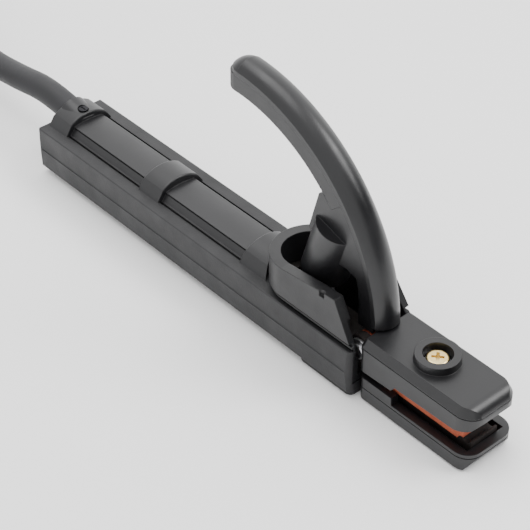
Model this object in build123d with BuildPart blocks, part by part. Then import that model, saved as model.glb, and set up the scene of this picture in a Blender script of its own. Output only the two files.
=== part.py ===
"""Insulated electrode holder for stick welding, with its cable in a tied hank behind it.

Frame: millimetres, +Z up, +X from the handle towards the jaws. The origin lies on the
rest face, straight below the hinge pin. The tool is symmetric about the XZ plane.
"""
from build123d import *
from math import asin, atan2, cos, degrees, pi, radians, sin, sqrt, tan
import os

os.makedirs("parts", exist_ok=True)

# ---------------------------------------------------------------- driving dimensions
handle_rear = -178.0
handle_front = 2.0
handle_bottom = 2.7
handle_top = 21.2
parting_z = 11.8
handle_half = 15.9
handle_draft = 0.35

band_half = 11.5
band_shoulder_half = 8.3
band_shoulder_z = 25.6
band_crown_z = 28.2
barrel_half = 9.3
barrel_shoulder_half = 7.0
barrel_shoulder_z = 23.5
barrel_step = 0.8
barrel_crown_z = 25.1
neck_front = -165.2
mid_band_rear = -119.3
mid_band_front = -107.6
front_band_rear = -60.4

pin_z = 18.0
pin_radius = 3.0
open_angle = 22.0

cup_x = -34.3
cup_outer = 15.0
cup_inner = 10.9
cup_insert = 13.3
rim_line = [(-51.0, 36.4), (-34.0, 36.8), (-14.6, 38.9), (-7.0, 39.3)]
guard_front = 1.6

lever_x = -70.0
lever_z = 23.2
lever_crown = 77.5
cap_inner = 72.2
rib_outer = 71.9
rib_inner = 64.4
cap_half = 5.8
rib_half = 5.1
lever_start = 3.6
cap_end = 87.6
rib_end = 89.4

boss_radius = 9.0
boss_tilt = 17.0
boss_top = (-20.0, 56.5)
boss_length = 24.0

cover_rear = 2.6
cover_front = 54.8
cover_half = 12.0
cover_top = 27.1
cover_step_x = 18.4
screw_x = 27.7
contact_z = 9.8
jaw_front = 48.6
groove_x = 48.1
groove_radius = 2.0

axis_z = 18.3
cable_radius = 5.4
jacket_end_x = -166.4
exit_z = 24.0
exit_slope = 11.5
collar_radius = 6.4
neck_screw_x = -168.2
set_screw_x = (-143.5, -134.5)
conductor_radius = 3.0

hank_front_x = -312.0
hank_run = 170.0
fold_radius = 34.0
hank_left_y = 10.75
hank_layers = 3
tie_thickness = 0.8


def save(part, name):
    """Labels a finished piece and writes it as parts/NAME.step."""
    part.label = name
    export_step(part, f"parts/{name}.step")


def side_prism(points, half_width, mode=Mode.ADD):
    """Side-view outline in XZ, drawn out both ways from y = 0. Used inside a BuildPart."""
    with BuildSketch(Plane.XZ) as outline:
        with BuildLine():
            Polyline(*points, close=True)
        make_face()
    extrude(outline.sketch, amount=half_width, both=True, mode=mode)


def side_cut(points, half_width):
    """The same outline, taken away."""
    side_prism(points, half_width, Mode.SUBTRACT)


def u_plan(half_width, front_x):
    """Plan outline of the cup: round at the rear about cup_x, straight to front_x."""
    with BuildLine() as outline:
        Line((front_x, -half_width), (cup_x, -half_width))
        RadiusArc((cup_x, -half_width), (cup_x, half_width), half_width)
        Line((cup_x, half_width), (front_x, half_width))
        Line((front_x, half_width), (front_x, -half_width))
    make_face(outline.line.edges())


def arched_profile(half, base_z, shoulder_half, shoulder_z, crown_z, step=0.0):
    """Section of the barrel or a band: sloping sides under a shallow arch."""
    with BuildLine() as outline:
        Line((-half, base_z), (half, base_z))
        Line((half, base_z), (shoulder_half, shoulder_z - step))
        if step:
            Line((shoulder_half, shoulder_z - step), (shoulder_half, shoulder_z))
        ThreePointArc((shoulder_half, shoulder_z), (0, crown_z), (-shoulder_half, shoulder_z))
        if step:
            Line((-shoulder_half, shoulder_z), (-shoulder_half, shoulder_z - step))
        Line((-shoulder_half, shoulder_z - step), (-half, base_z))
    make_face(outline.line.edges())


def spin(angle):
    """Plane through the lever's centre of curvature; local x is radial, local y is Y."""
    return Plane(
        origin=(lever_x, 0, lever_z),
        x_dir=(cos(radians(angle)), 0, sin(radians(angle))),
        z_dir=(-sin(radians(angle)), 0, cos(radians(angle))),
    )


def on_arc(radius, angle):
    """Side-view point of the lever at a radius and an angle above the X axis."""
    a = radians(angle)
    return (lever_x + radius * cos(a), lever_z + radius * sin(a))


def cover_plan(rear_x, front_radius, inset=0.0):
    """Plan outline of a jaw cover: its front corners are rounder than the rear ones."""
    with BuildSketch() as plan:
        with Locations(((rear_x + cover_front) / 2, 0)):
            Rectangle(cover_front - rear_x - 2 * inset, 2 * (cover_half - inset))
        fillet(plan.vertices().group_by(Axis.X)[0], radius=2.5 - inset)
        fillet(plan.vertices().group_by(Axis.X)[-1], radius=front_radius - inset)
    return plan.sketch


def cover_groove(rear_x, front_radius, z):
    """Thin ring to cut round a cover's side, its lower edge at z."""
    band = cover_plan(rear_x, front_radius) - cover_plan(rear_x, front_radius, 0.35)
    return Pos(0, 0, z) * band


lever_axis = Axis((lever_x, 0, lever_z), (0, -1, 0))

# Path of the conductor's end: it leans with the cable, then runs level into the socket.
exit_x = handle_rear
lean = tan(radians(exit_slope))
jacket_end_z = exit_z + lean * (exit_x - jacket_end_x)
level_x = jacket_end_x + (jacket_end_z - axis_z) / lean
socket_end_x = -130.0
conductor_points = [
    (jacket_end_x, 0, jacket_end_z),
    (level_x, 0, axis_z),
    (socket_end_x, 0, axis_z),
]

# ---------------------------------------------------------------- handle
neck_rear = handle_rear + 1.4
lean_plane = Plane(
    origin=(jacket_end_x, 0, jacket_end_z),
    x_dir=(0, 1, 0),
    z_dir=(cos(radians(exit_slope)), 0, -sin(radians(exit_slope))),
)

# The three raised bands, joined to the shell below.
with BuildPart() as bands:
    for band_rear, band_front in (
        (neck_rear, neck_front),
        (mid_band_rear, mid_band_front),
        (front_band_rear, cup_x),
    ):
        with BuildSketch(Plane(origin=(band_rear, 0, 0), x_dir=(0, 1, 0), z_dir=(1, 0, 0))):
            arched_profile(band_half, handle_top - 0.5, band_shoulder_half,
                           band_shoulder_z, band_crown_z)
        extrude(amount=band_front - band_rear)
    fillet(bands.edges().filter_by(GeomType.CIRCLE), radius=0.7)

with BuildPart() as handle_shell:
    top_half = handle_half - handle_draft
    bottom_half = handle_half - handle_draft - 0.2
    rear_plane = Plane(origin=(handle_rear, 0, 0), x_dir=(0, 1, 0), z_dir=(1, 0, 0))
    with BuildSketch(rear_plane):
        with BuildLine():
            Polyline(
                (-bottom_half, handle_bottom),
                (bottom_half, handle_bottom),
                (handle_half, parting_z),
                (top_half, handle_top),
                (-top_half, handle_top),
                (-handle_half, parting_z),
                close=True,
            )
        make_face()
    extrude(amount=handle_front - handle_rear)
    fillet(handle_shell.edges().filter_by(Axis.X).group_by(Axis.Z)[0], radius=0.8)
    fillet(handle_shell.edges().filter_by(Axis.X).group_by(Axis.Z)[-1], radius=0.5)
    # Mould flash round the sides.
    with BuildSketch(rear_plane):
        with Locations((0, parting_z)):
            Rectangle(2 * handle_half + 0.5, 0.5)
    extrude(amount=handle_front - handle_rear)
    # Rounded corners in plan, larger at the front.
    with BuildSketch() as plan:
        with Locations(((handle_rear + handle_front) / 2, 0)):
            Rectangle(handle_front - handle_rear, 2 * handle_half + 0.5)
        fillet(plan.vertices().group_by(Axis.X)[0], radius=1.4)
        fillet(plan.vertices().group_by(Axis.X)[-1], radius=3.4)
    extrude(amount=40, mode=Mode.INTERSECT)
    # Barrel between the bands, with its narrow sloping flanks.
    with BuildSketch(rear_plane):
        arched_profile(barrel_half, handle_top - 0.7, barrel_shoulder_half,
                       barrel_shoulder_z + barrel_step, barrel_crown_z, barrel_step)
    extrude(amount=cup_x - handle_rear)
    # Shadow groove where each flank meets the barrel.
    with BuildSketch(rear_plane):
        with Locations(*[(side * barrel_shoulder_half, barrel_shoulder_z + 0.3) for side in (-1, 1)]):
            Rectangle(1.3, 0.6)
    extrude(amount=cup_x - handle_rear, mode=Mode.SUBTRACT)
    # The barrel starts at the neck, flush with the neck's rear face.
    with BuildSketch(rear_plane):
        with Locations((0, handle_top + 5)):
            Rectangle(30, 10)
    extrude(amount=neck_rear - handle_rear, mode=Mode.SUBTRACT)
    add(bands.part)
    # Round collar of the neck, in line with the cable.
    collar_length = (jacket_end_x - neck_rear) / cos(radians(exit_slope))
    with BuildSketch(lean_plane.offset(-collar_length)):
        Circle(collar_radius)
    extrude(amount=collar_length)
    # Thin groove along the foot of each flank.
    for band_gap in ((neck_front, mid_band_rear), (mid_band_front, front_band_rear)):
        for side in (-1, 1):
            groove_mid = (band_gap[0] + band_gap[1]) / 2
            with BuildSketch(Plane.XY.offset(handle_top)):
                with Locations((groove_mid, side * (barrel_half + 0.5))):
                    Rectangle(band_gap[1] - band_gap[0], 1.0)
            extrude(amount=-1.0, mode=Mode.SUBTRACT)
    # Front: round seat for the guard's cup, clearance above the ledge, and its pocket.
    with BuildSketch(Plane.XY.offset(handle_top)):
        u_plan(cup_outer + 1.2, handle_front + 5)
    extrude(amount=20, mode=Mode.SUBTRACT)
    with BuildSketch(Plane.XY.offset(6.2)):
        u_plan(cup_insert + 0.2, handle_front + 5)
    extrude(amount=30, mode=Mode.SUBTRACT)
    # Pocket behind the guard for the tong's root, bore for its shank.
    with BuildSketch(Plane.XY.offset(8.8)):
        with Locations((-51, 0)):
            Rectangle(22, 11)
    extrude(amount=24.2 - 8.8, mode=Mode.SUBTRACT)
    with BuildSketch(Plane(origin=(level_x - 4, 0, axis_z), x_dir=(0, 1, 0), z_dir=(1, 0, 0))):
        Circle(5.6)
    extrude(amount=-50 - level_x + 4, mode=Mode.SUBTRACT)
    # Conductor's passage, and the cable's bore leaning up to the rear.
    with BuildSketch(lean_plane):
        Circle(conductor_radius + 0.2)
    extrude(amount=level_x - jacket_end_x + 1, mode=Mode.SUBTRACT)
    with BuildSketch(lean_plane.offset(0.2)):
        Circle(cable_radius + 0.1)
    extrude(amount=-14, mode=Mode.SUBTRACT)
    # Screw hole in the top of the neck.
    with BuildSketch(Plane.XY.offset(jacket_end_z)):
        with Locations((neck_screw_x, 0)):
            Circle(2.2)
    extrude(amount=12, mode=Mode.SUBTRACT)

save(handle_shell.part, "handle_shell")

# ---------------------------------------------------------------- guard
with BuildPart() as spring_guard:
    with BuildSketch(Plane.XY.offset(6.4)):
        u_plan(cup_insert, guard_front)
    extrude(amount=24.5 - 6.4)
    with BuildSketch(Plane.XY.offset(24.3)):
        u_plan(cup_outer, guard_front)
    extrude(amount=44 - 24.3)
    # Thin lip that shows between the handle's ledge and the cup.
    with BuildSketch(Plane.XY.offset(22.3)):
        u_plan(cup_outer - 0.7, guard_front)
    extrude(amount=0.8)
    # Inside of the cup, open to the front.
    with BuildSketch(Plane.XY.offset(8.9)):
        u_plan(cup_inner, guard_front + 5)
    extrude(amount=50, mode=Mode.SUBTRACT)
    # The rim rises gently to the front, then slopes down to the handle.
    side_cut(
        [*rim_line, (guard_front + 0.4, 22.0), (guard_front + 6, 22.0), (guard_front + 6, 60),
         (rim_line[0][0], 60)],
        20,
    )
    # On the left side the slope to the handle starts further back.
    with BuildSketch(Plane.XZ.offset(-cup_inner + 2)) as left_slope:
        with BuildLine():
            Polyline((-12.0, 39.2), (guard_front - 0.3, 22.0), (guard_front + 6, 22.0),
                     (guard_front + 6, 50), (-12.0, 50), close=True)
        make_face()
    extrude(amount=-10, mode=Mode.SUBTRACT)
    # Opening in the rear wall for the tong's root.
    with BuildSketch(Plane.XY.offset(8.9)):
        with Locations((-48, 0)):
            Rectangle(10, 11)
    extrude(amount=24.1 - 8.9, mode=Mode.SUBTRACT)
    # Room for the upper cover's rear corners when the jaws open.
    with BuildSketch(Plane.XY.offset(17.0)):
        with Locations((2.0, 0)):
            Rectangle(10, 2 * cover_half + 0.8)
    extrude(amount=40, mode=Mode.SUBTRACT)
    # Small gate notches in the rim's outer edges.
    for side in (-1, 1):
        with BuildSketch(Plane.XY.offset(36.8)):
            with Locations((-13.2, side * cup_outer)):
                Circle(1.3)
        extrude(amount=8, mode=Mode.SUBTRACT)

save(spring_guard.part, "spring_guard")

# ---------------------------------------------------------------- belly pad
with BuildPart() as belly_pad:
    pad_rear = -25.0
    pad_front = handle_front - 0.3
    with BuildSketch(Plane.XY):
        with Locations(((pad_rear + pad_front) / 2, 0)):
            RectangleRounded(pad_front - pad_rear, 2 * 14.4, 2.6)
    extrude(amount=handle_bottom - 0.02)
    fillet(belly_pad.edges().group_by(Axis.Z)[0], radius=1.0)

save(belly_pad.part, "belly_pad")

# ---------------------------------------------------------------- lower tong
with BuildPart() as lower_tong:
    side_prism(
        [(-42.4, 9.1), (3.0, 9.1), (5.4, 4.3), (51.0, 4.3), (51.0, contact_z - 0.15),
         (13.0, contact_z - 0.15), (10.5, 11.4), (8.5, 11.4), (8.0, 12.2), (-42.4, 12.2)],
        6.0,
    )
    # Wide floor under the spring.
    side_prism([(-37.5, 9.1), (-6.4, 9.1), (-6.4, 12.2), (-37.5, 12.2)], 9.0)
    # Root block and round shank.
    side_prism([(-60.0, 9.1), (-42.4, 9.1), (-42.4, 23.5), (-60.0, 23.5)], 5.2)
    with BuildSketch(Plane(origin=(level_x + 0.6, 0, axis_z), x_dir=(0, 1, 0), z_dir=(1, 0, 0))):
        Circle(5.2)
    extrude(amount=-50 - level_x - 0.6)
    # Socket for the stripped conductor.
    with BuildSketch(Plane(origin=(level_x + 0.6, 0, axis_z), x_dir=(0, 1, 0), z_dir=(1, 0, 0))):
        Circle(conductor_radius + 0.2)
    extrude(amount=socket_end_x + 1.0 - level_x - 0.6, mode=Mode.SUBTRACT)
    # Holes of the two set screws.
    with BuildSketch(Plane.XY.offset(axis_z + conductor_radius - 0.5)):
        with Locations(*[(x, 0) for x in set_screw_x]):
            Circle(2.0)
    extrude(amount=6, mode=Mode.SUBTRACT)
    # Hinge ears.
    for side in (-1, 1):
        with BuildSketch(Plane.XZ.offset(-side * 5.0)):
            with Locations((0, pin_z)):
                Circle(5.6)
            with Locations((0, 14.0)):
                Rectangle(11.2, 8.0)
        extrude(amount=-side * 3.2)
    side_prism([(-6.4, 9.1), (5.6, 9.1), (5.6, 11.4), (-6.4, 11.4)], 8.2)
    with BuildSketch(Plane.XZ):
        with Locations((0, pin_z)):
            Circle(6.6)
    extrude(amount=4.9, both=True, mode=Mode.SUBTRACT)
    with BuildSketch(Plane.XZ):
        with Locations((0, pin_z)):
            Circle(pin_radius + 0.03)
    extrude(amount=12, both=True, mode=Mode.SUBTRACT)
    # Cross groove that seats the electrode.
    with BuildSketch(Plane.XZ):
        with Locations((groove_x, contact_z)):
            Circle(groove_radius)
    extrude(amount=12, both=True, mode=Mode.SUBTRACT)
    # Thread of the cover's screw.
    with BuildSketch(Plane.XY.offset(4.0)):
        with Locations((screw_x, 0)):
            Circle(2.0)
    extrude(amount=4.6, mode=Mode.SUBTRACT)

save(lower_tong.part, "lower_tong")

# ---------------------------------------------------------------- upper tong
arm_half = 2.9
arm_inner = 67.2
arm_outer = 71.5
arm_end = 62.0
with BuildPart() as upper_tong:
    with BuildSketch(Plane.XZ):
        with Locations((0, pin_z)):
            Circle(5.4)
    extrude(amount=4.4, both=True)
    # Neck that runs forward into the jaw.
    side_prism([(-3.0, 14.4), (0, 12.8), (15.0, 12.8), (15.0, 21.6), (3.0, 21.8), (-2.0, 22.5)], 4.4)
    side_prism(
        [(14.0, contact_z + 0.15), (jaw_front, contact_z + 0.15), (jaw_front, 21.4), (9.5, 21.4),
         (9.5, 14.0)],
        8.2,
    )
    # Arm that stiffens the lever.
    start = degrees(asin((31.0 - lever_z) / arm_inner))
    side_prism([(-3.2, 20.0), (1.0, 20.0), on_arc(arm_outer, start + 1), on_arc(arm_inner, start + 1)],
               arm_half)
    with BuildSketch(spin(start)):
        with Locations(((arm_inner + arm_outer) / 2, 0)):
            Rectangle(arm_outer - arm_inner, 2 * arm_half)
    revolve(axis=lever_axis, revolution_arc=arm_end - start)
    with BuildSketch(Plane.XZ):
        with Locations((0, pin_z)):
            Circle(pin_radius + 0.05)
    extrude(amount=12, both=True, mode=Mode.SUBTRACT)
    # The upper half of the electrode's groove, open to the front.
    with BuildSketch(Plane.XZ):
        with Locations((groove_x, contact_z)):
            Circle(groove_radius)
    extrude(amount=12, both=True, mode=Mode.SUBTRACT)
    with BuildSketch(Plane.XY.offset(contact_z + 2)):
        with Locations((screw_x, 0)):
            Circle(2.0)
    extrude(amount=12, mode=Mode.SUBTRACT)

save(upper_tong.part, "upper_tong")

# ---------------------------------------------------------------- hinge
with BuildPart() as hinge_pin:
    with BuildSketch(Plane.XZ):
        with Locations((0, pin_z)):
            Circle(pin_radius)
    extrude(amount=10.4, both=True)
    for side in (-1, 1):
        with BuildSketch(Plane.XZ.offset(-side * 8.3)):
            with Locations((0, pin_z)):
                Circle(pin_radius)
                Circle(2.4, mode=Mode.SUBTRACT)
        extrude(amount=-side * 1.0, mode=Mode.SUBTRACT)
    chamfer(hinge_pin.faces().sort_by(Axis.Y)[0].edges(), 0.4)
    chamfer(hinge_pin.faces().sort_by(Axis.Y)[-1].edges(), 0.4)

save(hinge_pin.part, "hinge_pin")

with BuildPart() as hinge_pin_clips:
    for side in (-1, 1):
        with BuildSketch(Plane.XZ.offset(-side * 8.35)):
            with Locations((0, pin_z)):
                Circle(4.6)
                Circle(2.45, mode=Mode.SUBTRACT)
            with Locations((0, pin_z - 4)):
                Rectangle(2.4, 6, mode=Mode.SUBTRACT)
        extrude(amount=-side * 0.9)

save(hinge_pin_clips.part, "hinge_pin_clips")

with BuildPart() as hinge_washers:
    for side in (-1, 1):
        with BuildSketch(Plane.XZ.offset(-side * 4.5)):
            with Locations((0, pin_z)):
                Circle(5.2)
                Circle(pin_radius + 0.08, mode=Mode.SUBTRACT)
        extrude(amount=-side * 0.4)

save(hinge_washers.part, "hinge_washers")

# ---------------------------------------------------------------- spring and its seat
tilt = radians(boss_tilt)
boss_dir = (sin(tilt), cos(tilt))
boss_low = (boss_top[0] - boss_length * boss_dir[0], boss_top[1] - boss_length * boss_dir[1])
seat_z = 12.3
seat_face_z = 16.6
spring_bore_depth = 13.5
spring_bore = 6.2
spring_outer = 4.6
wire = 0.85
spring_foot = (-29.6, seat_face_z)
spring_head = (boss_low[0] + spring_bore_depth * boss_dir[0] - 1.2,
               boss_low[1] + spring_bore_depth * boss_dir[1] - 0.6)
spring_tilt = atan2(spring_head[0] - spring_foot[0], spring_head[1] - spring_foot[1])


def tilted_plane(point, angle):
    """Plane at a side-view point, its normal leaning forward from +Z by an angle in radians."""
    return Plane(
        origin=(point[0], 0, point[1]),
        x_dir=(cos(angle), 0, -sin(angle)),
        z_dir=(sin(angle), 0, cos(angle)),
    )


with BuildPart() as spring_seat:
    with BuildSketch(Plane.XY.offset(seat_z)):
        with Locations((spring_foot[0], 0)):
            Circle(6.5)
    extrude(amount=9)
    with BuildSketch(tilted_plane(spring_foot, spring_tilt)):
        Circle(20)
    extrude(amount=20, mode=Mode.SUBTRACT)
    with BuildSketch(tilted_plane(spring_foot, spring_tilt)):
        Circle(spring_outer - 2 * wire - 0.3)
    extrude(amount=3.0)

save(spring_seat.part, "spring_seat")

with BuildPart() as jaw_spring:
    span = sqrt((spring_head[0] - spring_foot[0]) ** 2 + (spring_head[1] - spring_foot[1]) ** 2)
    coil_height = span - 2 * wire - 0.3
    foot_plane = tilted_plane(spring_foot, spring_tilt)
    with BuildLine() as coil_line:
        Helix(pitch=coil_height / 7.5, height=coil_height, radius=spring_outer - wire,
              center=foot_plane.offset(wire + 0.1).origin, direction=foot_plane.z_dir)
    with BuildSketch(Plane(origin=coil_line.line @ 0, z_dir=coil_line.line % 0)):
        Circle(wire)
    sweep(path=coil_line.line, is_frenet=True)

save(jaw_spring.part, "jaw_spring")

# ---------------------------------------------------------------- lever cap
with BuildPart() as lever_cap:
    shoulder = lever_crown - 3.4
    with BuildSketch(spin(lever_start)) as cap_section:
        with BuildLine():
            Line((cap_inner, -cap_half), (cap_inner, cap_half))
            Line((cap_inner, cap_half), (shoulder, cap_half))
            ThreePointArc((shoulder, cap_half), (lever_crown, 0), (shoulder, -cap_half))
            Line((shoulder, -cap_half), (cap_inner, -cap_half))
        make_face()
    revolve(axis=lever_axis, revolution_arc=cap_end - lever_start)
    # Domed tip.
    tip_plane = spin(cap_end)
    with BuildSketch(tip_plane):
        with BuildLine():
            Line((cap_inner, 0), (cap_inner, cap_half))
            Line((cap_inner, cap_half), (shoulder, cap_half))
            ThreePointArc((shoulder, cap_half),
                          (lever_crown - 1.0, cap_half * 0.52), (lever_crown, 0))
            Line((lever_crown, 0), (cap_inner, 0))
        make_face()
    revolve(axis=Axis(tip_plane.origin, tip_plane.x_dir), revolution_arc=180)

save(lever_cap.part, "lever_cap")

# ---------------------------------------------------------------- lever rib, web and boss
with BuildPart() as lever_rib:
    rib_start = 40.0
    rib_round = 1.4
    with BuildSketch(spin(rib_start)) as rib_section:
        with Locations(((rib_inner + rib_outer) / 2, 0)):
            Rectangle(rib_outer - rib_inner, 2 * rib_half)
        fillet(rib_section.vertices().group_by(Axis.X)[0], radius=rib_round)
    revolve(axis=lever_axis, revolution_arc=rib_end - rib_start)
    tip_plane = spin(rib_end)
    with BuildSketch(tip_plane):
        with BuildLine():
            Line((rib_inner, 0), (rib_inner, rib_half - rib_round))
            RadiusArc((rib_inner, rib_half - rib_round), (rib_inner + rib_round, rib_half), rib_round)
            Polyline((rib_inner + rib_round, rib_half), (rib_outer, rib_half), (rib_outer, 0),
                     (rib_inner, 0))
        make_face()
    revolve(axis=Axis(tip_plane.origin, tip_plane.x_dir), revolution_arc=180)
    # Web below the rib, bounded outside by the cap.
    web_half = 4.7
    web_points = [(-26.5, 68.3), (-31.0, 52.0), (-26.0, 44.2), (-12.2, 44.2), (-7.3, 42.9),
                  (-6.2, 38.9), (-5.6, 34.0), (-5.6, 24.2), (1.75, 24.2), (1.75, 27.8)]
    with BuildSketch(Plane.XZ):
        with BuildLine():
            Polyline(*web_points)
            Line((1.75, 27.8), on_arc(rib_outer, 3.7))
            arc_mid = on_arc(rib_outer, 25)
            arc_top = on_arc(rib_outer, 44)
            ThreePointArc(on_arc(rib_outer, 3.7), arc_mid, arc_top)
            Line(arc_top, web_points[0])
        make_face()
    extrude(amount=web_half, both=True)
    # Spring boss.
    with BuildSketch(tilted_plane(boss_low, tilt)):
        Circle(boss_radius)
    extrude(amount=boss_length)
    with BuildSketch(tilted_plane(boss_low, tilt)):
        Circle(spring_bore)
    extrude(amount=spring_bore_depth, mode=Mode.SUBTRACT)
    # Nothing stands past the cap's inner face.
    with BuildSketch(Plane.XZ):
        with Locations((lever_x, lever_z)):
            Circle(110)
            Circle(rib_outer, mode=Mode.SUBTRACT)
    extrude(amount=20, both=True, mode=Mode.SUBTRACT)
    # Slot for the metal arm.
    slot_start = 2.0
    with BuildSketch(spin(slot_start)):
        with Locations(((arm_inner - 0.3 + 75) / 2, 0)):
            Rectangle(75 - arm_inner + 0.3, 2 * arm_half + 0.4)
    revolve(axis=lever_axis, revolution_arc=arm_end + 0.5 - slot_start, mode=Mode.SUBTRACT)
    side_cut([(-3.6, 23.0), (1.4, 23.0), (1.4, 26.0), (2.4, 33.0), (-3.6, 33.0)], arm_half + 0.2)

save(lever_rib.part, "lever_rib")

# ---------------------------------------------------------------- upper jaw cover
with BuildPart() as upper_jaw_cover:
    bevel_z = 23.8
    bevel_angle = 27.3
    front_radius = 7.0
    extrude(Pos(0, 0, 12) * cover_plan(cover_rear, front_radius), amount=bevel_z - 12)
    extrude(Pos(0, 0, bevel_z) * cover_plan(cover_rear, front_radius),
            amount=cover_top - bevel_z, taper=bevel_angle)
    # Side view: stepped lower edge, receding chin, round nose.
    with BuildSketch(Plane.XZ) as side_view:
        with BuildLine():
            Polyline((cover_rear, 13.2), (cover_step_x, 13.9), (cover_step_x + 1.8, 16.2),
                     (47.0, 16.9), (53.0, 18.5), (cover_front, 20.8), (cover_front, cover_top),
                     (cover_rear, cover_top), close=True)
        make_face()
        fillet(side_view.vertices().group_by(Axis.X)[-1].sort_by(Axis.Y)[-1], radius=5.0)
    extrude(side_view.sketch, amount=20, both=True, mode=Mode.INTERSECT)
    extrude(cover_groove(cover_rear, front_radius, bevel_z - 0.6), amount=0.45, mode=Mode.SUBTRACT)
    # Raised ring round the screw.
    with BuildSketch(Plane.XY.offset(cover_top - 1.5)):
        with Locations((screw_x, 0)):
            Circle(8.25)
    extrude(amount=1.5 + 3.0, taper=3)
    # Cavity for the jaw, open below and to the rear.
    side_cut([(cover_rear - 1, 10), (jaw_front + 0.4, 10), (jaw_front + 0.4, 21.8), (8.4, 21.8),
              (7.2, 24.0), (cover_rear - 1, 24.0)], 8.5)
    # Clearance round the ends of the hinge pin.
    with BuildSketch(Plane.XZ):
        with Locations((0, pin_z)):
            Circle(5.4)
    extrude(amount=10.7, both=True, mode=Mode.SUBTRACT)
    # Screw recess and its clearance hole.
    with BuildSketch(Plane.XY.offset(24.9)):
        with Locations((screw_x, 0)):
            Circle(5.3)
    extrude(amount=10, mode=Mode.SUBTRACT)
    with BuildSketch(Plane.XY.offset(20)):
        with Locations((screw_x, 0)):
            Circle(2.3)
    extrude(amount=10, mode=Mode.SUBTRACT)

save(upper_jaw_cover.part, "upper_jaw_cover")

# ---------------------------------------------------------------- lower jaw cover
with BuildPart() as lower_jaw_cover:
    lower_rear = cover_rear + 0.4
    lower_bottom = 0.2
    lower_radius = 6.5
    extrude(Pos(0, 0, lower_bottom) * cover_plan(lower_rear, lower_radius), amount=10.3)
    fillet(lower_jaw_cover.faces().sort_by(Axis.Z)[0].edges(), radius=1.0)
    # The front two thirds stand lower than the rear, and the nose slopes back below its lip.
    side_cut([(cover_step_x + 0.4, 11), (cover_step_x + 0.7, 7.3), (cover_front + 1, 7.75),
              (cover_front + 1, 11)], 20)
    side_cut([(cover_front + 0.1, 5.8), (51.4, lower_bottom - 0.5), (60, lower_bottom - 0.5), (60, 5.8)], 20)
    extrude(cover_groove(lower_rear, lower_radius, 5.9), amount=0.45, mode=Mode.SUBTRACT)
    side_cut([(cover_rear - 1, 3.9), (51.3, 3.9), (51.3, 20), (cover_rear - 1, 20)], 8.6)
    # Countersink and clearance hole from below.
    with BuildSketch(Plane.XY.offset(-1)):
        with Locations((screw_x, 0)):
            Circle(2.3)
    extrude(amount=8, mode=Mode.SUBTRACT)
    with Locations(Plane(origin=(screw_x, 0, lower_bottom), x_dir=(1, 0, 0), z_dir=(0, 0, -1))):
        CounterSinkHole(radius=2.3, counter_sink_radius=4.6, depth=4)

save(lower_jaw_cover.part, "lower_jaw_cover")

# ---------------------------------------------------------------- cover screws
with BuildPart() as upper_screw_washer:
    with BuildSketch(Plane.XY.offset(24.95)):
        with Locations((screw_x, 0)):
            Circle(4.9)
            Circle(2.2, mode=Mode.SUBTRACT)
    extrude(amount=0.8)

save(upper_screw_washer.part, "upper_screw_washer")

with BuildPart() as upper_cover_screw:
    with BuildSketch(Plane.XY.offset(25.8)):
        with Locations((screw_x, 0)):
            Circle(4.1)
    extrude(amount=2.7)
    fillet(upper_cover_screw.faces().sort_by(Axis.Z)[-1].edges(), radius=1.0)
    with BuildSketch(Plane.XY.offset(28.5)):
        with Locations((screw_x, 0)):
            Rectangle(4.4, 1.0, rotation=41)
            Rectangle(4.4, 1.0, rotation=131)
            Circle(1.0)
    extrude(amount=-1.5, mode=Mode.SUBTRACT)
    with BuildSketch(Plane.XY.offset(12.2)):
        with Locations((screw_x, 0)):
            Circle(1.9)
    extrude(amount=25.9 - 12.2)

save(upper_cover_screw.part, "upper_cover_screw")

with BuildPart() as lower_cover_screw:
    with BuildSketch(Plane.XY.offset(1.0)):
        with Locations((screw_x, 0)):
            Circle(3.7)
    extrude(amount=1.85, taper=44)
    with BuildSketch(Plane.XY.offset(1.2)):
        with Locations((screw_x, 0)):
            Circle(1.9)
    extrude(amount=7.0)
    with BuildSketch(Plane.XY.offset(1.0)):
        with Locations((screw_x, 0)):
            Rectangle(3.8, 0.9)
            Rectangle(0.9, 3.8)
    extrude(amount=1.3, mode=Mode.SUBTRACT)

save(lower_cover_screw.part, "lower_cover_screw")

# ---------------------------------------------------------------- cable clamp screws
with BuildPart() as neck_screw:
    jacket_top = exit_z + lean * (exit_x - neck_screw_x) + cable_radius / cos(radians(exit_slope))
    with BuildSketch(Plane.XY.offset(jacket_top + 0.5)):
        with Locations((neck_screw_x, 0)):
            Circle(1.9)
    extrude(amount=0.6)
    with BuildSketch(Plane.XY.offset(jacket_top + 1.1)):
        with Locations((neck_screw_x, 0)):
            Rectangle(2.6, 0.6)
    extrude(amount=-0.3, mode=Mode.SUBTRACT)

save(neck_screw.part, "neck_screw")

with BuildPart() as cable_set_screws:
    with BuildSketch(Plane.XY.offset(axis_z + conductor_radius + 0.05)):
        with Locations(*[(x, 0) for x in set_screw_x]):
            Circle(1.9)
    extrude(amount=1.7)
    with BuildSketch(Plane.XY.offset(axis_z + conductor_radius + 1.75)):
        with Locations(*[(x, 0) for x in set_screw_x]):
            RegularPolygon(1.0, 6)
    extrude(amount=-0.9, mode=Mode.SUBTRACT)

save(cable_set_screws.part, "cable_set_screws")

# ---------------------------------------------------------------- conductor and cable
with BuildPart() as conductor:
    with BuildLine() as strand_line:
        FilletPolyline(*conductor_points, radius=20)
    with BuildSketch(Plane(origin=strand_line.line @ 0, z_dir=strand_line.line % 0)):
        Circle(conductor_radius)
    sweep(path=strand_line.line)

save(conductor.part, "conductor")


def corner_radii(points):
    """Largest tangent radius at each corner: 0.45 of its shorter run."""
    result = []
    for before, corner, after in zip(points, points[1:], points[2:]):
        run_in = Vector(*corner) - Vector(*before)
        run_out = Vector(*after) - Vector(*corner)
        turn = radians(run_in.get_angle(run_out))
        result.append(0.45 * min(run_in.length, run_out.length) / tan(turn / 2))
    return result


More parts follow.
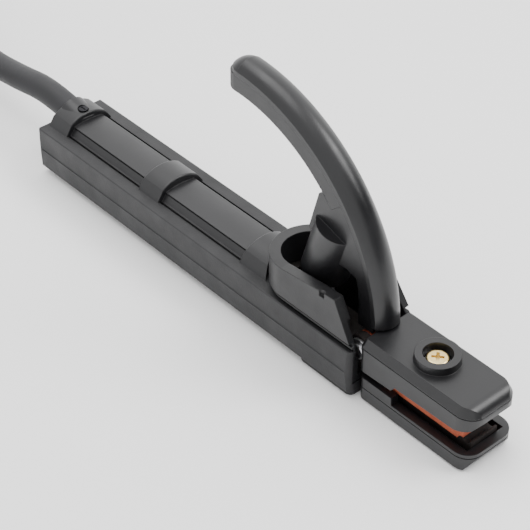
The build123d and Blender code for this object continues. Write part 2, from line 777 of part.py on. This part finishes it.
def cable_solid(points, label):
    """Cable along straight runs joined by tangent arcs. Prints its radii and its volume."""
    radii = corner_radii(points)
    with BuildPart() as cable:
        with BuildLine() as route:
            FilletPolyline(*points, radius=radii)
        with BuildSketch(Plane(origin=route.line @ 0, z_dir=route.line % 0)):
            Circle(cable_radius)
        sweep(path=route.line)
    run_length = sum(edge.length for edge in route.edges())
    expected = pi * cable_radius**2 * run_length
    print(label, "radii", [round(r, 1) for r in radii], "length", round(run_length, 1),
          "volume ratio", round(cable.part.volume / expected, 4))
    return cable.part


hank_x = hank_front_x - hank_run / 2
hank_y = hank_left_y - fold_radius
hank_height = 2 * cable_radius * hank_layers
low_z = tie_thickness + cable_radius
top_z = tie_thickness + hank_height - cable_radius
cable_points = [
    (jacket_end_x, 0, jacket_end_z),
    (-189.0, 0.0, 26.24),
    (-213.0, -0.6, 22.2),
    (-238.0, 0.2, 18.8),
    (-263.0, 4.0, 22.4),
    (-288.0, 9.4, 27.2),
    (hank_front_x, hank_left_y, top_z),
]
cable_tube = cable_solid(cable_points, "cable_tube")
save(cable_tube, "cable_tube")

# The hank: three oval turns stacked, as one closed ring.
with BuildPart() as cable_hank:
    with BuildSketch(Plane.XY.offset(tie_thickness)):
        with Locations((hank_x, hank_y)):
            SlotCenterToCenter(hank_run, 2 * (fold_radius + cable_radius))
            SlotCenterToCenter(hank_run, 2 * (fold_radius - cable_radius), mode=Mode.SUBTRACT)
    extrude(amount=hank_height)
    fillet(cable_hank.edges().group_by(Axis.Z)[0], radius=4.0)
    fillet(cable_hank.edges().group_by(Axis.Z)[-1], radius=4.0)

save(cable_hank.part, "cable_hank")

# A flat tie round each side of the hank.
with BuildPart() as cable_ties:
    tie_fit = 0.02
    for side in (-1, 1):
        tie_center = (side * fold_radius + hank_y, tie_thickness + hank_height / 2)
        tie_width = 2 * (cable_radius + tie_fit)
        with BuildSketch(Plane(origin=(hank_x - 6.0, 0, 0), x_dir=(0, 1, 0), z_dir=(1, 0, 0))):
            with Locations(tie_center):
                RectangleRounded(tie_width + 2 * tie_thickness, hank_height + 2 * tie_thickness, 4.7)
                RectangleRounded(tie_width, hank_height + 2 * tie_fit, 3.9, mode=Mode.SUBTRACT)
        extrude(amount=12.0)

save(cable_ties.part, "cable_ties")

tail_y = hank_y - fold_radius
tail_points = [
    (hank_front_x, tail_y, low_z),
    (hank_front_x + 34.0, tail_y + 0.6, low_z + 0.2),
    (hank_front_x + 66.0, tail_y + 3.0, low_z + 1.0),
]
tail_part = cable_solid(tail_points, "cable_tail")
save(tail_part, "cable_tail")

# ---------------------------------------------------------------- lug on the far end
tail_end = Vector(*tail_points[-1])
tail_dir = (tail_end - Vector(*tail_points[-2])).normalized()
lug_plane = Plane(origin=tail_end, x_dir=Vector(tail_dir.Y, -tail_dir.X, 0), z_dir=tail_dir)
boot_length = 20.0
with BuildPart() as lug_boot:
    with BuildSketch(lug_plane.offset(-6.0)):
        Circle(cable_radius + 0.9)
    extrude(amount=boot_length)
    with BuildSketch(lug_plane.offset(-6.0)):
        Circle(cable_radius + 0.02)
    extrude(amount=6.0, mode=Mode.SUBTRACT)
    with BuildSketch(lug_plane):
        Circle(4.95)
    extrude(amount=boot_length, mode=Mode.SUBTRACT)

with BuildPart() as cable_lug:
    lug_reach = 20.0
    with BuildSketch(lug_plane):
        Circle(4.9)
    extrude(amount=lug_reach)
    # Palm: flat, with a round end and the stud's hole.
    palm_origin = tail_end + tail_dir * (lug_reach + 12.0)
    palm_plane = Plane(origin=(palm_origin.X, palm_origin.Y, palm_origin.Z - 1.8),
                       x_dir=(tail_dir.X, tail_dir.Y, 0), z_dir=(0, 0, 1))
    with BuildSketch(palm_plane):
        Circle(8.5)
        with Locations((-9.0, 0)):
            Rectangle(14.0, 14.0)
    extrude(amount=3.0)
    with BuildSketch(palm_plane):
        Circle(5.25)
    extrude(amount=3.0, mode=Mode.SUBTRACT)

save(lug_boot.part, "lug_boot")
save(cable_lug.part, "cable_lug")
print("lug hole", round(palm_origin.X, 3), round(palm_origin.Y, 3), round(palm_plane.origin.Z, 3))
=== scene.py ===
"""Electrode holder: materials, cable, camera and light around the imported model."""
from math import cos, pi, radians, sin

import bpy
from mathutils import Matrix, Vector


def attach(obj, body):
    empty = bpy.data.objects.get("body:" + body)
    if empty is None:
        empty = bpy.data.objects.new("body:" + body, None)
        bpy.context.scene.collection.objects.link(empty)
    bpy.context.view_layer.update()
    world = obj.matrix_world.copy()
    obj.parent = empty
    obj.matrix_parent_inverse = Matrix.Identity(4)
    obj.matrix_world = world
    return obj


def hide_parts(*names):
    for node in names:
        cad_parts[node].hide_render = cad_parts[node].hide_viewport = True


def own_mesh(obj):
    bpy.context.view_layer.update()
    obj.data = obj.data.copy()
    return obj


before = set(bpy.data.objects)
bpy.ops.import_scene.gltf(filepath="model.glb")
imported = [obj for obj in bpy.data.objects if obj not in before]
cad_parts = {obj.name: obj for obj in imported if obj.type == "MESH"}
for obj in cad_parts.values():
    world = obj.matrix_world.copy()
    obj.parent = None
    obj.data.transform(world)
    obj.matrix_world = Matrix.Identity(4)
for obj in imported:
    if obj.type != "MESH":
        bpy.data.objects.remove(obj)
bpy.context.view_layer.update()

MM = 0.001

# ------------------------------------------------------------------ camera
camera_place = (0.3090, -0.3256, 0.4156)
camera_tilt = radians(50.8)
camera_azimuth = radians(48.5)
camera_data = bpy.data.cameras.new("camera")
camera_data.lens = 117.5
camera_data.sensor_width = 36.0
camera_data.clip_start = 0.01
camera_data.clip_end = 20.0
camera = bpy.data.objects.new("camera", camera_data)
camera.location = camera_place
camera.rotation_euler = (camera_tilt, 0.0, camera_azimuth)
bpy.context.collection.objects.link(camera)
bpy.context.scene.camera = camera

# ------------------------------------------------------------------ cable
# The route's points are the same as those of the solid tube that the cable replaces.
cable_radius = 5.4 * MM
hank_front_x = -312.0 * MM
hank_run = 170.0 * MM
fold_radius = 34.0 * MM
hank_left_y = 10.75 * MM
hank_y = hank_left_y - fold_radius
tie_thickness = 0.8 * MM
hank_layers = 3
points_per_side = 6
curve_steps = 8
low_z = tie_thickness + cable_radius
tail_y = hank_y - fold_radius
run_out = [
    (-166.4 * MM, 0.0, 21.64 * MM),
    (-189.0 * MM, 0.0, 26.24 * MM),
    (-213.0 * MM, -0.6 * MM, 22.2 * MM),
    (-238.0 * MM, 0.2 * MM, 18.8 * MM),
    (-263.0 * MM, 4.0 * MM, 22.4 * MM),
    (-288.0 * MM, 9.4 * MM, 27.2 * MM),
]
tail = [
    (hank_front_x, tail_y, low_z),
    (hank_front_x + 34.0 * MM, tail_y + 0.6 * MM, low_z + 0.2 * MM),
    (hank_front_x + 66.0 * MM, tail_y + 3.0 * MM, low_z + 1.0 * MM),
]


def fold(center_x, start_angle, height, drop):
    """Control points of one half turn, its end left out, falling by drop on the way.

    A control point between the ends stands a little outside the curve that it bends.
    """
    made = []
    for step in range(points_per_side):
        u = step / points_per_side
        angle = start_angle + pi * u
        radius = fold_radius / cos(pi / (2 * points_per_side)) if step else fold_radius
        made.append((center_x + radius * cos(angle), hank_y + radius * sin(angle),
                     height - drop * u * u * (3 - 2 * u)))
    return made


def hank_turns():
    """Control points of the hank: flat ovals from the top down, stepping down in the front folds."""
    made = []
    rear_x = hank_front_x - hank_run
    for layer in reversed(range(hank_layers)):
        height = low_z + 2 * cable_radius * layer
        for step in range(points_per_side):
            made.append((hank_front_x - hank_run * step / points_per_side, hank_left_y, height))
        made += fold(rear_x, pi / 2, height, 0.0)
        for step in range(points_per_side):
            made.append((rear_x + hank_run * step / points_per_side, tail_y, height))
        if layer:
            made += fold(hank_front_x, -pi / 2, height, 2 * cable_radius)
    return made


def spline_object(name, points, radius, resolution, bevel_resolution=6):
    """Round cord or wire along one smooth spline, shaped by its control points."""
    data = bpy.data.curves.new(name, "CURVE")
    data.dimensions = "3D"
    data.bevel_depth = radius
    data.bevel_resolution = bevel_resolution
    data.use_fill_caps = True
    data.resolution_u = resolution
    spline = data.splines.new("NURBS")
    spline.points.add(len(points) - 1)
    for target, point in zip(spline.points, points):
        target.co = (*point, 1.0)
    spline.order_u = 3
    spline.use_endpoint_u = True
    obj = bpy.data.objects.new(name, data)
    bpy.context.collection.objects.link(obj)
    return obj


cable = spline_object("welding_cable", run_out + hank_turns() + tail, cable_radius, curve_steps)
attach(cable, "holder")
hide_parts("cable_tube", "cable_hank", "cable_tail")

# ------------------------------------------------------------------ spring
spring_foot = (-29.6 * MM, 0.0, 16.6 * MM)
spring_head = (-24.3 * MM, 0.0, 45.8 * MM)
wire_radius = 0.85 * MM
spring_mean_radius = 3.75 * MM
active_turns = 6.5
closed_turns = 1.0
points_per_spring_turn = 24


def compression_spring():
    """Round-wire spring with a closed turn at each end, leaning with the boss."""
    foot, head = Vector(spring_foot), Vector(spring_head)
    axis = (head - foot).normalized()
    side = Vector((0, 1, 0))
    across = side.cross(axis)
    height = (head - foot).length - 2 * wire_radius
    turns = active_turns + 2 * closed_turns
    closed_rise = 2 * wire_radius * closed_turns
    points = []
    steps = int(turns * points_per_spring_turn)
    for step in range(steps + 1):
        turn = turns * step / steps
        if turn < closed_turns:
            rise = closed_rise * turn / closed_turns
        elif turn > turns - closed_turns:
            rise = height - closed_rise * (turns - turn) / closed_turns
        else:
            rise = closed_rise + (height - 2 * closed_rise) * (turn - closed_turns) / active_turns
        angle = 2 * pi * turn
        points.append(foot + axis * (rise + wire_radius)
                      + (across * cos(angle) + side * sin(angle)) * spring_mean_radius)
    line = spline_object("spring_line", [tuple(p) for p in points], wire_radius, 2,
                         bevel_resolution=3)
    depsgraph = bpy.context.evaluated_depsgraph_get()
    mesh = bpy.data.meshes.new_from_object(line.evaluated_get(depsgraph))
    mesh.name = "lever_spring"
    bpy.data.objects.remove(line)
    for polygon in mesh.polygons:
        polygon.use_smooth = True
    spring = bpy.data.objects.new("lever_spring", mesh)
    bpy.context.collection.objects.link(spring)
    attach(spring, "holder")
    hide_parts("jaw_spring")
    return spring


lever_spring = compression_spring()

# ------------------------------------------------------------------ material helpers


class Shader:
    """A Principled material with short calls for its texture nodes."""

    def __init__(self, name):
        self.material = bpy.data.materials.new(name)
        self.material.use_nodes = True
        self.tree = self.material.node_tree
        self.surface = self.tree.nodes["Principled BSDF"]
        self.place = self.node("ShaderNodeTexCoord").outputs["Object"]

    def node(self, kind, **settings):
        made = self.tree.nodes.new(kind)
        for key, value in settings.items():
            setattr(made, key, value)
        return made

    def link(self, source, target):
        self.tree.links.new(source, target)

    def set(self, **values):
        for key, value in values.items():
            self.surface.inputs[key.replace("_", " ")].default_value = value

    def noise(self, scale, detail=3.0, roughness=0.55, stretch=(1, 1, 1)):
        mapping = self.node("ShaderNodeMapping")
        mapping.inputs["Scale"].default_value = stretch
        self.link(self.place, mapping.inputs["Vector"])
        texture = self.node("ShaderNodeTexNoise")
        texture.inputs["Scale"].default_value = scale
        texture.inputs["Detail"].default_value = detail
        texture.inputs["Roughness"].default_value = roughness
        self.link(mapping.outputs["Vector"], texture.inputs["Vector"])
        return texture.outputs["Fac"]

    def ramp(self, source, low, high, from_low=0.0, from_high=1.0):
        """Linear map of a value from one range to another, clamped."""
        mapped = self.node("ShaderNodeMapRange")
        self.link(source, mapped.inputs["Value"])
        mapped.inputs["From Min"].default_value = from_low
        mapped.inputs["From Max"].default_value = from_high
        mapped.inputs["To Min"].default_value = low
        mapped.inputs["To Max"].default_value = high
        return mapped.outputs["Result"]

    def mix(self, factor, low, high):
        """Colour mix; low and high are RGB triples or sockets."""
        blend = self.node("ShaderNodeMix", data_type="RGBA")
        self.link(factor, blend.inputs["Factor"])
        for socket, value in ((blend.inputs[6], low), (blend.inputs[7], high)):
            if isinstance(value, tuple):
                socket.default_value = (*value, 1.0)
            else:
                self.link(value, socket)
        return blend.outputs[2]

    def math(self, operation, first, second):
        made = self.node("ShaderNodeMath", operation=operation)
        for socket, value in ((made.inputs[0], first), (made.inputs[1], second)):
            if isinstance(value, (int, float)):
                socket.default_value = value
            else:
                self.link(value, socket)
        return made.outputs["Value"]

    def bump(self, height, distance, strength=1.0, under=None):
        made = self.node("ShaderNodeBump")
        made.inputs["Strength"].default_value = strength
        made.inputs["Distance"].default_value = distance
        self.link(height, made.inputs["Height"])
        if under is not None:
            self.link(under, made.inputs["Normal"])
        return made.outputs["Normal"]

    def rounded(self, radius):
        """Softens the shading of sharp edges over a small radius."""
        made = self.node("ShaderNodeBevel", samples=6)
        made.inputs["Radius"].default_value = radius
        return made.outputs["Normal"]

    def color(self, source):
        self.link(source, self.surface.inputs["Base Color"])

    def roughness(self, source):
        self.link(source, self.surface.inputs["Roughness"])

    def normal(self, source):
        self.link(source, self.surface.inputs["Normal"])


# ------------------------------------------------------------------ materials
# Colours come in pairs: the darkest and the palest tone of one cloudy material.
black_plastic = ((0.0055, 0.0055, 0.0063), (0.0085, 0.0085, 0.0097))
handle_black = ((0.0062, 0.0062, 0.0072), (0.0098, 0.0098, 0.0112))
pad_black = ((0.008, 0.008, 0.009), (0.014, 0.014, 0.015))
cable_black = ((0.010, 0.010, 0.0115), (0.018, 0.018, 0.0205))
fibre_red = ((0.30, 0.05, 0.03), (0.40, 0.08, 0.05))
# The handle's grain fades out between these two heights.
grain_top = 21.3 * MM
satin_from = 23.0 * MM
along_x = (0.1, 1, 1)
along_y = (1, 0.1, 1)


def moulded_plastic(name, tones, smooth, rough, grain, depth, edge=0.35 * MM):
    """Moulded plastic: cloudy tone, uneven gloss and a fine grain."""
    s = Shader(name)
    cloud = s.noise(38.0, 4.0, 0.6)
    s.color(s.mix(s.ramp(cloud, 0.0, 1.0, 0.3, 0.7), *tones))
    smudge = s.noise(120.0, 3.0, 0.5)
    s.roughness(s.ramp(smudge, smooth, rough, 0.3, 0.7))
    soft = s.rounded(edge)
    wave = s.bump(s.noise(60.0, 1.0, 0.4), 0.12 * MM, 0.25, soft)
    s.normal(s.bump(s.noise(grain, 2.0, 0.6), depth, 1.0, wave))
    s.set(Specular_IOR_Level=0.5, IOR=1.5)
    return s.material


def handle_plastic():
    """Grained side faces below the ledge, smoother barrel and bands above it."""
    s = Shader("handle_plastic")
    split = s.node("ShaderNodeSeparateXYZ")
    s.link(s.place, split.inputs["Vector"])
    upper = s.ramp(split.outputs["Z"], 0.0, 1.0, grain_top, satin_from)
    cloud = s.ramp(s.noise(30.0, 5.0, 0.6), 0.0, 1.0, 0.3, 0.7)
    s.color(s.mix(cloud, *handle_black))
    smudge = s.noise(90.0, 4.0, 0.6)
    grained = s.ramp(smudge, 0.46, 0.60, 0.3, 0.7)
    satin = s.ramp(smudge, 0.33, 0.42, 0.3, 0.7)
    s.roughness(s.math("ADD", s.math("MULTIPLY", upper, satin),
                       s.math("MULTIPLY", s.math("SUBTRACT", 1.0, upper), grained)))
    soft = s.rounded(0.45 * MM)
    height = s.math("MULTIPLY", s.noise(1500.0, 2.0, 0.7), s.ramp(upper, 1.0, 0.25))
    s.normal(s.bump(height, 0.06 * MM, 1.0, soft))
    s.set(Specular_IOR_Level=0.5, IOR=1.5)
    return s.material


def rubber(name, tones):
    """Matt rubber with a dusty bloom."""
    s = Shader(name)
    bloom = s.ramp(s.noise(70.0, 5.0, 0.65), 0.0, 1.0, 0.35, 0.7)
    s.color(s.mix(bloom, *tones))
    s.roughness(s.ramp(bloom, 0.5, 0.68))
    s.normal(s.bump(s.noise(900.0, 3.0, 0.6), 0.05 * MM))
    s.set(Specular_IOR_Level=0.45)
    return s.material


def metal(name, dark, light, smooth, rough, scratch=(1, 1, 1), depth=0.02 * MM, metallic=1.0):
    """Metal with brushed or cast scratches along one direction."""
    s = Shader(name)
    tone = s.ramp(s.noise(150.0, 5.0, 0.65), 0.0, 1.0, 0.3, 0.7)
    s.color(s.mix(tone, dark, light))
    lines = s.noise(600.0, 4.0, 0.7, scratch)
    s.roughness(s.ramp(lines, smooth, rough, 0.3, 0.7))
    s.normal(s.bump(lines, depth, 1.0, s.rounded(0.2 * MM)))
    s.set(Metallic=metallic)
    return s.material


materials = {
    "handle": handle_plastic(),
    "guard": moulded_plastic("guard_plastic", black_plastic, 0.36, 0.48, 1100.0, 0.03 * MM, 0.5 * MM),
    "lever": moulded_plastic("lever_plastic", black_plastic, 0.28, 0.38, 900.0, 0.012 * MM),
    "cover": moulded_plastic("cover_plastic", black_plastic, 0.30, 0.40, 900.0, 0.015 * MM),
    "pad": rubber("pad_rubber", pad_black),
    "cable": rubber("cable_rubber", cable_black),
    # Near-black metal for the lower jaw: painted shade, darkened to stand in for the shadow inside
    # the jaw covers.
    "dark_metal": metal("dark_metal", (0.010, 0.008, 0.008), (0.026, 0.020, 0.018), 0.55, 0.8,
                        metallic=0.4),
    "black_oxide": metal("black_oxide", (0.012, 0.012, 0.014), (0.03, 0.03, 0.034), 0.35, 0.55),
    "red_copper": metal("red_copper", (0.30, 0.062, 0.03), (0.46, 0.12, 0.06), 0.45, 0.7,
                        along_x, 0.03 * MM, 0.55),
    "bare_copper": metal("bare_copper", (0.60, 0.27, 0.15), (0.80, 0.40, 0.24), 0.28, 0.5, along_x),
    "steel": metal("steel", (0.42, 0.42, 0.43), (0.60, 0.60, 0.61), 0.25, 0.45, along_y),
    "spring_wire": metal("spring_wire", (0.30, 0.30, 0.31), (0.48, 0.48, 0.50), 0.25, 0.4),
    "gilt": metal("gilt", (0.72, 0.52, 0.20), (0.90, 0.76, 0.42), 0.22, 0.42),
    "tin": metal("tin", (0.55, 0.55, 0.55), (0.75, 0.75, 0.75), 0.3, 0.5),
    "fibre": moulded_plastic("red_fibre", fibre_red, 0.6, 0.8, 700.0, 0.03 * MM),
}

node_material = {
    "handle_shell": "handle",
    "spring_guard": "guard",
    "belly_pad": "pad",
    # The lower jaw wears the near-black painted shade metal.
    "lower_tong": "dark_metal",
    "lower_jaw_cover": "cover",
    "lower_cover_screw": "steel",
    "hinge_pin": "steel",
    "hinge_pin_clips": "steel",
    "hinge_washers": "fibre",
    "spring_seat": "guard",
    "jaw_spring": "spring_wire",
    "neck_screw": "black_oxide",
    "cable_set_screws": "steel",
    "conductor": "bare_copper",
    "cable_tube": "cable",
    "cable_hank": "cable",
    "cable_ties": "cable",
    "cable_tail": "cable",
    "lug_boot": "cable",
    "cable_lug": "tin",
    "upper_tong": "red_copper",
    "lever_cap": "lever",
    "lever_rib": "lever",
    "upper_jaw_cover": "cover",
    "upper_cover_screw": "gilt",
    "upper_screw_washer": "steel",
}


def wear(obj, key):
    """Gives an object one material."""
    obj.data.materials.clear()
    obj.data.materials.append(materials[key])


wear(cable, "cable")
wear(lever_spring, "spring_wire")
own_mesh(lever_spring)
for node, key in node_material.items():
    wear(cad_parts[node], key)
    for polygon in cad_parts[node].data.polygons:
        polygon.material_index = 0

# ------------------------------------------------------------------ light and floor
floor_size = 12.0
floor_white = (0.97, 0.97, 0.97)
key_power = 9.0
overhead_power = 12.0
dark_side = (0.86, 0.51, 0.0)
bright_side = (-0.6, 0.75, 0.1)


def area_light(name, place, aim, side, power):
    """A soft square light at a place, turned towards a point."""
    data = bpy.data.lights.new(name, "AREA")
    data.shape = "RECTANGLE"
    data.size = data.size_y = side
    data.energy = power
    lamp = bpy.data.objects.new(name, data)
    lamp.location = place
    direction = Vector([aim[i] - place[i] for i in range(3)])
    lamp.rotation_euler = direction.to_track_quat("-Z", "Y").to_euler()
    bpy.context.collection.objects.link(lamp)


def studio_world():
    """White room with one dark side beyond the jaws, and brighter towards the handle's left."""
    world = bpy.data.worlds.new("world")
    world.use_nodes = True
    tree = world.node_tree
    background = tree.nodes["Background"]

    def towards(direction, low, high, from_low, from_high):
        """Strength that goes from low to high as the view turns into a direction."""
        place = tree.nodes.new("ShaderNodeTexCoord")
        dot = tree.nodes.new("ShaderNodeVectorMath")
        dot.operation = "DOT_PRODUCT"
        dot.inputs[1].default_value = Vector(direction).normalized()
        tree.links.new(place.outputs["Generated"], dot.inputs[0])
        ramp = tree.nodes.new("ShaderNodeMapRange")
        ramp.interpolation_type = "SMOOTHSTEP"
        tree.links.new(dot.outputs["Value"], ramp.inputs["Value"])
        for key, value in (("From Min", from_low), ("From Max", from_high), ("To Min", low),
                           ("To Max", high)):
            ramp.inputs[key].default_value = value
        return ramp.outputs["Result"]

    product = tree.nodes.new("ShaderNodeMath")
    product.operation = "MULTIPLY"
    tree.links.new(towards(dark_side, 1.0, 0.1, 0.5, 0.8), product.inputs[0])
    tree.links.new(towards(bright_side, 1.45, 2.3, 0.1, 0.9), product.inputs[1])
    tree.links.new(product.outputs["Value"], background.inputs["Strength"])
    background.inputs["Color"].default_value = (1, 1, 1, 1)
    bpy.context.scene.world = world


def studio():
    """White floor, with a softbox beyond the jaws to their left and another high over the handle."""
    bpy.ops.mesh.primitive_plane_add(size=floor_size, location=(0, 0, 0))
    floor = bpy.context.object
    floor.name = "floor"
    s = Shader("floor")
    s.set(Base_Color=(*floor_white, 1.0), Roughness=0.9, Specular_IOR_Level=0.1)
    floor.data.materials.append(s.material)
    area_light("key", (0.47, 0.61, 0.91), (0.0, 0.0, 0.03), 0.55, key_power)
    area_light("overhead", (-0.5, -0.1, 1.6), (-0.05, 0.0, 0.0), 1.0, overhead_power)
    studio_world()


studio()
